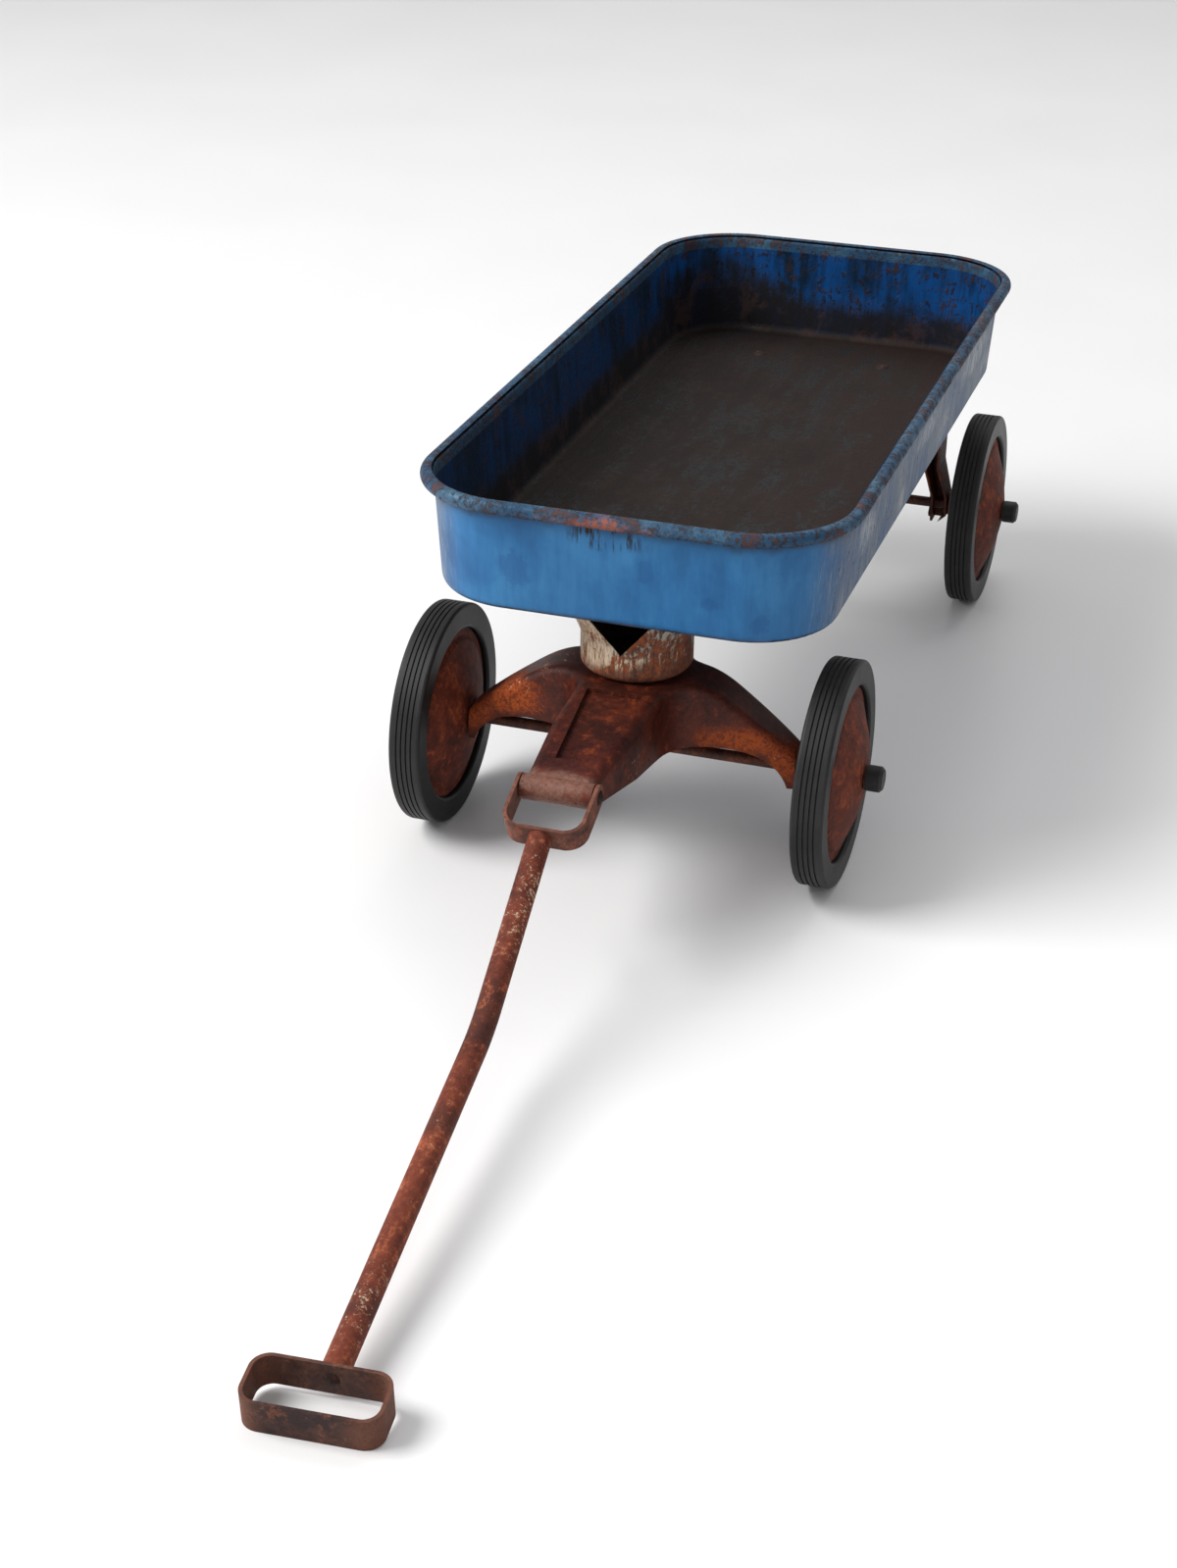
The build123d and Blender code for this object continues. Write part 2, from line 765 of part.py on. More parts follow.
def make_disc():
    line = FilletPolyline(
        (disc_radius - disc_sheet, disc_rim_offset),
        (disc_radius - disc_flat, disc_rim_offset),
        (disc_radius - disc_flat - disc_bend, disc_shoulder_offset),
        (disc_dome_radius, disc_dome_offset),
        (disc_nose_radius, disc_nose_offset),
        (hub_radius, disc_nose_offset),
        radius=disc_bend / 2,
    )
    return revolve(Plane.XY * trace(line, disc_sheet), Axis.Y)


def wheel_pieces():
    # Pieces by name, each turned from the Y axis that it was revolved about to the X axis.
    turn = Rot(0, 0, -90)
    disc = make_disc()
    return {
        "tyre": turn * make_tyre(),
        "outer_disc": turn * disc,
        "inner_disc": turn * Rot(180, 0, 0) * disc,
        "hub_tube": Rot(0, 90, 0)
        * ring(hub_radius, axle_radius + running_clearance, 2 * hub_half_length),
    }


def export_wheels():
    # The wagon's left is +X, seen by someone who faces forward along -Y.
    corners = {
        "front_left": (1, 0),
        "front_right": (-1, 0),
        "rear_left": (1, wheelbase),
        "rear_right": (-1, wheelbase),
    }
    for corner, (side, y) in corners.items():
        turn = Rot(0, 0, 90 - 90 * side)
        for name, piece in wheel_pieces().items():
            placed = Pos(side * wheel_x, y, axle_height) * turn * piece
            export_piece(placed, f"{corner}_{name}")


def main():
    os.makedirs("parts", exist_ok=True)
    rear = Pos(0, wheelbase, 0)
    sides = (-1, 1)
    collar_places = [(a * collar_bolt_x, b * collar_bolt_y) for a in sides for b in sides]
    rear_places = [(a * rear_bolt_x, wheelbase) for a in sides]

    export_piece(make_tray(collar_places + rear_places), "tray")
    export_piece(make_collar(collar_places), "front_collar")
    export_piece(group([tray_bolt(x, y, collar_sheet) for x, y in collar_places]), "collar_bolts")
    export_piece(group([tray_nut(x, y, collar_sheet) for x, y in collar_places]), "collar_nuts")
    export_piece(make_kingpin(), "kingpin_bolt")
    export_piece(make_kingpin_washer(), "kingpin_washer")
    export_piece(make_kingpin_nut(), "kingpin_nut")
    export_piece(make_rear_bracket(), "rear_bracket")
    export_piece(group([tray_bolt(x, y, rear_sheet) for x, y in rear_places]), "rear_bracket_bolts")
    export_piece(group([tray_nut(x, y, rear_sheet) for x, y in rear_places]), "rear_bracket_nuts")
    export_piece(rear * axle_holes(make_axle()), "rear_axle")
    export_piece(rear * both_sides(make_cotter()), "rear_axle_cotters")
    export_piece(rear * make_washers(), "rear_axle_washers")
    export_piece(rear * make_caps(), "rear_axle_caps")

    export_piece(make_fork(), "front_fork")
    export_piece(make_thrust_washer(), "thrust_washer")
    export_piece(make_axle(), "front_axle")
    export_piece(make_washers(), "front_axle_washers")
    export_piece(make_caps(), "front_axle_caps")
    export_piece(make_handle_pin(), "handle_pin")

    export_piece(make_yoke(), "yoke")
    export_piece(tube_solid(tube_radius) - tube_solid(tube_radius - tube_wall), "handle_tube")
    export_piece(make_tube_plug(), "tube_plug")
    export_piece(make_grip(), "grip")
    export_piece(make_grip_bolt(), "grip_bolt")
    export_wheels()


main()
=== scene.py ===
import math

import bmesh
import bpy
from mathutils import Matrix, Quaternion, Vector


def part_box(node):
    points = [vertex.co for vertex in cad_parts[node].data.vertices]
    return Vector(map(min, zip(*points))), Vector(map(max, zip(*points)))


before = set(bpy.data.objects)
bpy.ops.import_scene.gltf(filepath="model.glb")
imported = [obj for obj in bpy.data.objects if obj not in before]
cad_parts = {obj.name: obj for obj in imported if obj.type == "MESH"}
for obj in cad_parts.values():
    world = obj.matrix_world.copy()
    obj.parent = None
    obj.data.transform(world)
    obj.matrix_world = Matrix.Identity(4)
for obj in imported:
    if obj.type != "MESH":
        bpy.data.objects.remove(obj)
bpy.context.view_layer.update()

# Old pressed-steel pull wagon: blue tray, rusted running gear, black rubber tyres.
# Metres throughout. The floor is z = 0 and the wagon's front faces -Y.


def srgb(red, green, blue):
    # screen colour 0..255 to the linear colour that the shaders use
    def linear(value):
        value = value / 255
        return value / 12.92 if value <= 0.04045 else ((value + 0.055) / 1.055) ** 2.4

    return (linear(red), linear(green), linear(blue), 1.0)


class Wire:
    # one output of a node, so that shader sums read as plain sums

    def __init__(self, finish, socket):
        self.finish = finish
        self.socket = socket

    def sums(self, operation, first, second):
        return self.finish.node("ShaderNodeMath", {"operation": operation}, {0: first, 1: second})

    def __add__(self, other):
        return self.sums("ADD", self, other)

    def __radd__(self, other):
        return self.sums("ADD", other, self)

    def __sub__(self, other):
        return self.sums("SUBTRACT", self, other)

    def __rsub__(self, other):
        return self.sums("SUBTRACT", other, self)

    def __mul__(self, other):
        return self.sums("MULTIPLY", self, other)

    def __truediv__(self, other):
        return self.sums("DIVIDE", self, other)

    def __pow__(self, other):
        return self.sums("POWER", self, other)


class Finish:
    # one material and the nodes that it is made of

    def __init__(self, name):
        self.material = bpy.data.materials.new(name)
        self.material.use_nodes = True
        self.tree = self.material.node_tree
        self.tree.nodes.clear()
        self.coords = self.node("ShaderNodeTexCoord", out="Object")

    def node(self, kind, settings={}, values={}, out=0):
        made = self.tree.nodes.new(kind)
        for key, value in settings.items():
            if key == "stops":
                while len(made.color_ramp.elements) < len(value):
                    made.color_ramp.elements.new(0.5)
                for element, (place, colour) in zip(made.color_ramp.elements, value):
                    element.position = place
                    element.color = colour
            else:
                setattr(made, key, value)
        for key, value in values.items():
            if isinstance(value, Wire):
                self.tree.links.new(value.socket, made.inputs[key])
            else:
                made.inputs[key].default_value = value
        return Wire(self, made.outputs[out] if made.outputs else None)

    def placed(self, centre=(0, 0, 0), scale=(1, 1, 1), turn=(0, 0, 0)):
        # the pattern's own space: moved to a centre, stretched and turned
        moved = self.node("ShaderNodeVectorMath", {"operation": "SUBTRACT"}, {0: self.coords, 1: centre})
        values = {"Vector": moved, "Scale": scale, "Rotation": turn}
        return self.node("ShaderNodeMapping", {"vector_type": "POINT"}, values)

    def split(self, vector):
        parts = self.node("ShaderNodeSeparateXYZ", values={0: vector}).socket.node
        return [Wire(self, parts.outputs[k]) for k in range(3)]

    def axes(self, coords=None):
        return self.split(coords or self.coords)

    def facing(self):
        return self.split(self.node("ShaderNodeTexCoord", out="Normal"))

    def noise(self, scale, detail=4.0, rough=0.6, warp=0.0, coords=None):
        values = {
            "Vector": coords or self.coords,
            "Scale": scale,
            "Detail": detail,
            "Roughness": rough,
            "Distortion": warp,
        }
        return self.node("ShaderNodeTexNoise", {"noise_dimensions": "3D"}, values)

    def step(self, value, low, high):
        # 0 below low, 1 above high, smooth between; low may be the larger one
        if low > high:
            return 1 - self.step(value, high, low)
        return self.node(
            "ShaderNodeMapRange",
            {"interpolation_type": "SMOOTHSTEP", "clamp": True},
            {"Value": value, "From Min": low, "From Max": high, "To Min": 0.0, "To Max": 1.0},
        )

    def most(self, first, second):
        return self.node("ShaderNodeMath", {"operation": "MAXIMUM"}, {0: first, 1: second})

    def clip(self, value):
        return self.node("ShaderNodeMath", {"operation": "ADD", "use_clamp": True}, {0: value, 1: 0.0})

    def far(self, coords, point):
        # distance of the coords from a point
        settings = {"operation": "DISTANCE"}
        return self.node("ShaderNodeVectorMath", settings, {0: coords, 1: point}, out="Value")

    def mix(self, amount, first, second):
        # inputs 6 and 7 and output 2 are the node's colour sockets
        settings = {"data_type": "RGBA", "blend_type": "MIX"}
        return self.node("ShaderNodeMix", settings, {0: amount, 6: first, 7: second}, out=2)

    def ramp(self, value, stops):
        return self.node("ShaderNodeValToRGB", {"stops": stops}, {0: value})

    def band(self, value, low, high, soft):
        # 1 between two values, fading out over the soft distance
        return self.step(value, low - soft, low) * self.step(value, high + soft, high)

    def blot(self, spots, warp):
        # soft patches at named places, each (x, y, z, half sizes in x, y, z)
        total = 0.0
        for x, y, z, wide, deep, tall in spots:
            coords = self.placed((x, y, z), (1 / wide, 1 / deep, 1 / tall))
            reach = self.far(coords, (0, 0, 0)) + warp
            total = self.most(self.step(reach, 1.0, 0.55), total)
        return total

    def done(self, colour, rough, height=None, depth=0.001, specular=0.5):
        values = {"Base Color": colour, "Roughness": rough, "Specular IOR Level": specular}
        if height is not None:
            bump = {"Strength": 1.0, "Distance": depth, "Height": height}
            values["Normal"] = self.node("ShaderNodeBump", {}, bump)
        shader = self.node("ShaderNodeBsdfPrincipled", {}, values)
        self.node("ShaderNodeOutputMaterial", {}, {"Surface": shader})
        return self.material


def wear(node, material):
    # gives a CAD node its finish
    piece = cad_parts[node]
    for slot in piece.material_slots:
        slot.material = material


# The camera, the light and the floor.

cameraSettings = {
    "place": (0.60096, -1.97959, 1.15041),
    "azimuth": 17.759,
    "elevation": 27.525,
    "roll": 0.874,
    "lens": 60.05,
    "sensor": 36.0,
}

azimuth = math.radians(cameraSettings["azimuth"])
elevation = math.radians(cameraSettings["elevation"])
level = math.cos(elevation)
toCamera = Vector((math.sin(azimuth) * level, -math.cos(azimuth) * level, math.sin(elevation)))
lens = bpy.data.cameras.new("camera")
lens.lens = cameraSettings["lens"]
lens.sensor_width = cameraSettings["sensor"]
cameraObject = bpy.data.objects.new("camera", lens)
bpy.context.scene.collection.objects.link(cameraObject)
cameraObject.rotation_mode = "QUATERNION"
roll = Quaternion((0, 0, 1), math.radians(cameraSettings["roll"]))
cameraObject.rotation_quaternion = (-toCamera).to_track_quat("-Z", "Y") @ roll
cameraObject.location = cameraSettings["place"]
bpy.context.scene.camera = cameraObject

lightSettings = {
    # name: (direction that it comes from, distance, size, watts, colour)
    "window": ((-0.86, -0.48, 0.92), 5.6, 3.1, 372.0, (1.0, 0.99, 0.97)),
    "ceiling": ((0.10, 0.70, 1.0), 5.0, 3.0, 60.0, (1.0, 1.0, 1.0)),
    "frontFill": ((0.45, -1.0, 0.50), 3.6, 2.4, 12.0, (0.98, 0.99, 1.0)),
}
lightTarget = Vector((0.0, 0.15, 0.15))
worldStrength = 0.42


def addLight(name, settings, target):
    direction, distance, size, watts, colour = settings
    lamp = bpy.data.lights.new(name, "AREA")
    lamp.shape = "SQUARE"
    lamp.size = size
    lamp.energy = watts
    lamp.color = colour
    piece = bpy.data.objects.new(name, lamp)
    bpy.context.scene.collection.objects.link(piece)
    away = Vector(direction).normalized()
    piece.location = target + away * distance
    piece.rotation_euler = (-away).to_track_quat("-Z", "Y").to_euler()


for name, settings in lightSettings.items():
    addLight(name, settings, lightTarget)

world = bpy.data.worlds.new("studio")
bpy.context.scene.world = world
world.use_nodes = True
world.node_tree.nodes["Background"].inputs["Color"].default_value = (1.0, 1.0, 1.0, 1.0)
world.node_tree.nodes["Background"].inputs["Strength"].default_value = worldStrength
bpy.context.scene.view_settings.view_transform = "Standard"

floorSettings = {"half": 9.0, "colour": srgb(236, 236, 237), "rough": 0.34}
floorMesh = bpy.data.meshes.new("studioFloor")
sheet = bmesh.new()
bmesh.ops.create_grid(sheet, x_segments=1, y_segments=1, size=floorSettings["half"])
sheet.to_mesh(floorMesh)
sheet.free()
studioFloor = bpy.data.objects.new("studioFloor", floorMesh)
bpy.context.scene.collection.objects.link(studioFloor)
floorFinish = Finish("paleFloor")
floorGrain = floorFinish.noise(3.0, 3.0)
floorMesh.materials.append(
    floorFinish.done(
        floorSettings["colour"],
        floorFinish.step(floorGrain, 0.2, 0.8) * 0.12 + floorSettings["rough"],
    )
)
print("camera, light and floor are set")


# The tray: worn blue paint outside; rusted inside, and darker there from painted shade; a speckled rolled
# rim.

trayLook = {
    "front": srgb(40, 101, 152),
    "frontPale": srgb(54, 118, 168),
    "frontDeep": srgb(30, 82, 130),
    "smudge": srgb(20, 68, 122),
    "faded": srgb(104, 112, 122),
    "fadedBlue": srgb(62, 86, 118),
    "chalk": srgb(176, 178, 180),
    "inside": srgb(5, 66, 126),
    "insideDeepAndShade": srgb(4, 26, 46),
    "rimBlue": srgb(34, 70, 100),
    "rimPale": srgb(66, 100, 124),
    "rustBlack": srgb(14, 10, 9),
    "rustDark": srgb(30, 21, 18),
    "rustBrown": srgb(66, 42, 32),
    "rustOrange": srgb(158, 88, 54),
    "floorDark": srgb(30, 20, 17),
    "floorMid": srgb(50, 34, 28),
    "floorWarm": srgb(72, 46, 37),
    "floorWorn": srgb(80, 60, 50),
    "teal": srgb(34, 62, 70),
    "gloss": 0.22,
    "relief": 0.0011,
    # how far the rolled rim reaches down from the tray's top
    "rimDrop": 0.0135,
    # places and half sizes of the marks, in metres
    "smudges": [
        (-0.088, -0.046, 0.284, 0.017, 0.02, 0.019),
        (0.086, -0.046, 0.279, 0.012, 0.02, 0.010),
        (0.127, -0.046, 0.264, 0.013, 0.02, 0.014),
        (0.030, -0.046, 0.300, 0.008, 0.02, 0.014),
    ],
    "scuffs": [
        (-0.012, -0.050, 0.342, 0.075, 0.02, 0.009),
        (0.205, 0.62, 0.346, 0.01, 0.06, 0.006),
    ],
    "drips": [(-0.005, -0.047, 0.326, 0.055, 0.02, 0.015)],
    "rustedEdge": [
        (0.150, -0.032, 0.2405, 0.045, 0.05, 0.010),
        (0.178, 0.05, 0.2405, 0.02, 0.07, 0.008),
        (-0.175, -0.01, 0.2405, 0.03, 0.04, 0.006),
    ],
    "rubbed": [
        (0.190, 0.12, 0.292, 0.02, 0.05, 0.026),
        (0.190, 0.28, 0.262, 0.02, 0.04, 0.022),
        (0.190, 0.38, 0.300, 0.02, 0.07, 0.020),
        (0.190, 0.47, 0.272, 0.02, 0.05, 0.030),
        (0.190, 0.62, 0.300, 0.02, 0.09, 0.026),
        (0.190, 0.70, 0.270, 0.02, 0.05, 0.020),
    ],
    # painted shadow of the -X wall, in the rear corner where it meets the back wall
    "leftWallShadow": [(-0.17, 0.79, 0.275, 0.13, 0.10, 0.050)],
}


def trayFinish(look):
    f = Finish("agedBluePaint")
    low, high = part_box("tray")
    middleY = (low.y + high.y) / 2
    halfX, halfY = high.x, (high.y - low.y) / 2
    x, y, z = f.axes()
    nx, ny, nz = f.facing()
    outward = nx * (x / halfX) + ny * ((y - middleY) / halfY)
    outside = f.step(outward, -0.05, 0.05)
    upward = f.step(nz, 0.35, 0.75)
    downward = f.step(nz, -0.35, -0.75)
    lip = high.z - look["rimDrop"]
    rim = f.step(z, lip - 0.001, lip + 0.0005)

    # patterns, from broad clouds to fine grain
    cloud = f.noise(7.0, 3.0, 0.5)
    haze = f.noise(15.0, 4.0, 0.55, 0.4)
    blotch = f.noise(30.0, 6.0, 0.66, 0.4)
    flake = f.noise(110.0, 8.0, 0.74, 0.5)
    grit = f.noise(300.0, 6.0, 0.72)
    pits = f.noise(620.0, 3.0, 0.6)
    dust = f.noise(1500.0, 2.0, 0.5)
    runs = f.noise(1.0, 5.0, 0.66, 0.2, f.placed(scale=(70, 70, 9)))
    fineRuns = f.noise(1.0, 5.0, 0.7, 0.15, f.placed(scale=(360, 360, 26)))
    longRuns = f.noise(1.0, 6.0, 0.7, 0.3, f.placed(scale=(42, 9, 42)))
    scratches = f.noise(1.0, 5.0, 0.75, 0.5, f.placed(scale=(520, 30, 520), turn=(0, 0, 0.12)))
    warp = (blotch - 0.5) * 1.3 + (flake - 0.5) * 0.5

    # outside: soft uneven blue with smudges, greyer and scratched on both sides and the back
    tone = haze * 0.45 + cloud * 0.25 + runs * 0.30
    outsidePaint = f.ramp(tone, [(0.38, look["frontDeep"]), (0.50, look["front"]), (0.62, look["frontPale"])])
    smudged = f.blot(look["smudges"], warp * 1.6 + (fineRuns - 0.5) * 0.8) * 0.38
    outsidePaint = f.mix(smudged, outsidePaint, look["smudge"])
    outsidePaint = f.mix(f.step(grit, 0.60, 0.74) * 0.30, outsidePaint, look["frontPale"])
    leftSide = f.step(nx, 0.45, 0.90) * f.step(y, low.y + 0.030, low.y + 0.10)
    rightSide = f.step(nx, -0.45, -0.90)
    back = f.step(ny, 0.55, 0.95)
    weathered = f.clip(leftSide + rightSide * 0.75 + back * 0.6)
    fadeTone = f.mix(f.step(runs * 0.6 + haze * 0.4, 0.42, 0.58), look["fadedBlue"], look["faded"])
    outsidePaint = f.mix(weathered * (f.step(fineRuns, 0.30, 0.60) * 0.30 + 0.70), outsidePaint, fadeTone)
    rubbed = f.blot(look["rubbed"], warp * 0.8 + (fineRuns - 0.5) * 1.4)
    chalkMarks = rubbed * f.step(fineRuns * 0.6 + flake * 0.4, 0.45, 0.53)
    chalk = f.clip(chalkMarks + weathered * f.step(fineRuns, 0.55, 0.63) * 0.55)
    outsidePaint = f.mix(chalk * 0.75, outsidePaint, look["chalk"])
    drip = f.blot(look["drips"], (haze - 0.5) * 1.2) * f.step(fineRuns, 0.50, 0.58)
    underRim = f.step(z + runs * 0.022, high.z - 0.012, high.z - 0.002) * 0.55
    sideDrip = weathered * f.step(z + fineRuns * 0.05, high.z - 0.012, high.z + 0.016) * 0.8
    outsidePaint = f.mix(f.clip(drip * 0.8 + sideDrip + underRim), outsidePaint, look["rustDark"])

    # rust along the bottom edge and in small chips
    foot = f.step(z + flake * 0.010, low.z + 0.0115, low.z + 0.0065)
    edgeSpots = f.blot(look["rustedEdge"], warp)
    patchyFoot = foot * (f.step(blotch, 0.48, 0.60) * 0.6 + 0.25)
    footRust = f.clip(patchyFoot + edgeSpots * f.step(flake, 0.42, 0.54))
    chips = f.step(flake * 0.5 + grit * 0.5, 0.635, 0.665)
    outsideRust = f.clip(footRust + chips * 0.75 + weathered * f.step(flake, 0.60, 0.66) * 0.7)

    # inside: strong blue above, black brown towards the floor, speckled all over; painted shade darkens the
    # side walls, and a painted shadow of the -X wall lies in the rear corner
    backWall = f.step(y, high.y - 0.20, high.y - 0.06)
    reach = z + (blotch - 0.5) * 0.050 + (flake - 0.5) * 0.040
    depthInside = f.step(reach, low.z + 0.050, low.z + 0.022)
    speckle = f.step(flake * 0.50 + blotch * 0.25 + fineRuns * 0.25, 0.505, 0.555)
    insidePaintAndShade = f.mix(f.step(haze * 0.5 + runs * 0.5, 0.38, 0.60), look["insideDeepAndShade"], look["inside"])
    # painted shade: every inside wall but the back one is darkened towards the deep blue
    insidePaintAndShade = f.mix((1 - backWall) * 0.62, insidePaintAndShade, look["insideDeepAndShade"])
    # painted shadow: the -X wall's shadow in the rear corner is added to the rust mask and takes the black
    # rust tone
    black = f.blot(look["leftWallShadow"], warp)
    insideRustAndShadow = f.clip(depthInside + speckle * (backWall * 0.35 + 0.55) + black * 0.85)

    # floor: dark rust, streaks along the length, teal remnants of the paint, and painted shade along the -X
    # wall
    floorTone = longRuns * 0.40 + blotch * 0.30 + flake * 0.30
    floorStops = [(0.36, look["floorDark"]), (0.50, look["floorMid"]), (0.64, look["floorWarm"])]
    floorColour = f.ramp(floorTone, floorStops)
    tealLevel = longRuns * 0.45 + cloud * 0.25 + flake * 0.30
    # painted shade: the floor along the -X wall stays darker where that wall's shadow falls, and the rest is
    # mixed lighter
    outOfWallShadow = f.step(x + (haze - 0.5) * 0.3, -0.06, 0.16) * 0.5
    floorColour = f.mix(outOfWallShadow, floorColour, look["floorWarm"])
    teal = f.step(tealLevel, 0.50, 0.56) * f.step(grit, 0.40, 0.56)
    floorColour = f.mix(teal * 0.6, floorColour, look["teal"])
    floorColour = f.mix(f.step(scratches, 0.60, 0.68) * 0.35, floorColour, look["floorWorn"])
    slope = f.step(nz, 0.997, 0.96) * f.step(nz, 0.45, 0.8)
    floorColour = f.mix(slope * f.step(blotch, 0.44, 0.60) * 0.45, floorColour, look["floorWorn"])
    moat = f.step(z, low.z + 0.0075, low.z + 0.0045)
    floorColour = f.mix(moat * 0.7, floorColour, look["rustBlack"])
    floorColour = f.mix(f.step(grit * 0.6 + pits * 0.4, 0.56, 0.66) * 0.55, floorColour, look["rustBlack"])

    # put the faces together
    rustLevel = blotch * 0.45 + flake * 0.55
    rustStops = [(0.38, look["rustDark"]), (0.52, look["rustBrown"]), (0.66, look["rustOrange"])]
    rustTone = f.ramp(rustLevel, rustStops)
    insideRustAndShadowTone = f.mix(f.step(blotch, 0.48, 0.62) * 0.45, look["rustBlack"], look["rustBrown"])
    wallIn = f.mix(insideRustAndShadow * 0.94, insidePaintAndShade, insideRustAndShadowTone)
    wallOut = f.mix(outsideRust * 0.9, outsidePaint, rustTone)
    colour = f.mix(outside, wallIn, wallOut)
    under = f.mix(f.step(blotch, 0.42, 0.60), look["floorDark"], look["fadedBlue"])
    colour = f.mix(upward * (1 - rim), colour, floorColour)
    colour = f.mix(downward * (1 - rim) * 0.85, colour, under)
    rimRust = f.step(flake * 0.35 + blotch * 0.25 + grit * 0.40, 0.470, 0.545)
    rimPaint = f.mix(f.step(haze * 0.5 + grit * 0.5, 0.46, 0.60), look["rimBlue"], look["rimPale"])
    scuff = f.blot(look["scuffs"], warp)
    rimColour = f.mix(rimRust * 0.85, rimPaint, f.mix(0.60, rustTone, look["rustDark"]))
    rimColour = f.mix(scuff * f.step(grit, 0.35, 0.55) * 0.8, rimColour, look["rustOrange"])
    colour = f.mix(rim, colour, rimColour)

    # the same parts for the gloss and the relief
    rust = outside * outsideRust + (1 - outside) * insideRustAndShadow
    bare = upward * (1 - rim)
    rust = rust * (1 - bare) + bare * (1 - teal * 0.7)
    rust = f.clip(rust * (1 - rim) + rim * (rimRust + scuff))
    rough = rust * 0.34 + 0.40 + (grit - 0.5) * 0.22 + weathered * 0.10
    height = (1 - rust) * 0.12 + dust * 0.03 + rust * (pits * 0.30 + flake * 0.40) + haze * 0.25
    return f.done(colour, rough, height, look["relief"], look["gloss"])


wear("tray", trayFinish(trayLook))
print("tray painted")


# Rusted steel for the running gear and the handle.


def rustedSteel(name, look):
    # broad tones, orange bloom, dark pits, and remnants of paint that sit a little proud
    f = Finish(name)
    grain = look["grain"]
    y = f.axes()[1]
    broad = f.noise(20.0 * grain, 4.0, 0.6, 0.5)
    patch = f.noise(64.0 * grain, 7.0, 0.70, 0.5)
    flake = f.noise(190.0 * grain, 8.0, 0.76, 0.3)
    speck = f.noise(430.0, 6.0, 0.74)
    pits = f.noise(820.0, 3.0, 0.6)
    if look.get("runs"):
        # streaks that follow each of the two straight runs of the handle
        steep, shallow, bendY = look["runs"]
        first = f.noise(1.0, 6.0, 0.7, 0.2, f.placed((0, bendY, 0), (150, 17, 150), (-steep, 0, 0)))
        second = f.noise(1.0, 6.0, 0.7, 0.2, f.placed((0, bendY, 0), (150, 17, 150), (-shallow, 0, 0)))
        blend = f.step(y, bendY - 0.02, bendY + 0.02)
        streak = first * blend + second * (1 - blend)
        patch = patch * 0.45 + streak * 0.55
    tone = broad * 0.30 + patch * 0.35 + flake * 0.35
    colour = f.ramp(tone, [(0.37, look["dark"]), (0.50, look["middle"]), (0.63, look["light"])])
    edge = (patch - 0.5) * 1.5 + (flake - 0.5) * 0.8
    for spots, colourName, strength in look.get("stains", []):
        stain = f.blot(spots, edge) * (f.step(flake, 0.36, 0.56) * 0.6 + 0.4)
        colour = f.mix(stain * strength, colour, look[colourName])
    bloom = f.step(patch * 0.55 + flake * 0.45, look["bloomFrom"], look["bloomFrom"] + 0.06) * look["bloom"]
    for spots, strength in look.get("bloomAt", []):
        bloom = f.most(bloom, f.blot(spots, edge) * strength)
    warm = f.mix(f.step(speck * 0.5 + flake * 0.5, 0.44, 0.58), look["light"], look["orange"])
    colour = f.mix(bloom, colour, warm)
    colour = f.mix(f.step(flake * 0.5 + speck * 0.5, 0.54, 0.60) * look["pitting"], colour, look["dark"])
    paintLevel = flake * 0.40 + patch * 0.25 + speck * 0.35
    paint = f.step(paintLevel, look["paintFrom"], look["paintFrom"] + 0.02)
    for spots, cut in look.get("paintAt", []):
        paint = f.most(paint, f.blot(spots, edge) * f.step(paintLevel, cut, cut + 0.02))
    colour = f.mix(paint * look["paintStrength"], colour, look["paint"])
    rough = 0.84 - paint * 0.20 - (1 - bloom) * look["sheen"] + (speck - 0.5) * 0.20
    height = flake * 0.50 + pits * 0.30 + paint * 0.35 + patch * 0.30
    return f.done(colour, rough, height, look["relief"], look["gloss"])


forkLook = {
    "grain": 1.0,
    "dark": srgb(24, 11, 9),
    "middle": srgb(70, 28, 19),
    "light": srgb(102, 44, 26),
    "orange": srgb(176, 82, 26),
    "bloomFrom": 0.55,
    "bloom": 0.40,
    "pitting": 0.75,
    "paint": srgb(206, 178, 146),
    "paintFrom": 0.635,
    "paintStrength": 0.85,
    "sheen": 0.38,
    "gloss": 0.22,
    "relief": 0.0008,
    "soot": srgb(30, 16, 14),
    "barrel": srgb(132, 94, 80),
    "stains": [
        # darker on the deck around the collar's base, under the tray, and on the tongue just in front of it
        ([(0.0, 0.02, 0.176, 0.085, 0.075, 0.03), (0.0, -0.10, 0.150, 0.035, 0.06, 0.04)], "soot", 0.45),
        ([(0.0, -0.183, 0.158, 0.050, 0.020, 0.022)], "barrel", 0.85),
    ],
    "bloomAt": [
        ([(-0.112, -0.006, 0.142, 0.040, 0.06, 0.024)], 0.95),
        ([(0.060, -0.075, 0.138, 0.028, 0.05, 0.022), (0.105, -0.015, 0.130, 0.055, 0.05, 0.017)], 0.80),
        ([(0.150, -0.005, 0.118, 0.028, 0.05, 0.030), (-0.150, -0.005, 0.118, 0.03, 0.05, 0.03)], 0.75),
    ],
    "paintAt": [
        ([(-0.105, -0.012, 0.152, 0.026, 0.05, 0.016)], 0.545),
        ([(-0.068, 0.020, 0.172, 0.026, 0.030, 0.020)], 0.555),
        ([(0.048, -0.090, 0.140, 0.022, 0.04, 0.020), (0.085, -0.035, 0.137, 0.034, 0.05, 0.014)], 0.550),
        ([(0.138, -0.005, 0.125, 0.030, 0.05, 0.016)], 0.560),
    ],
}
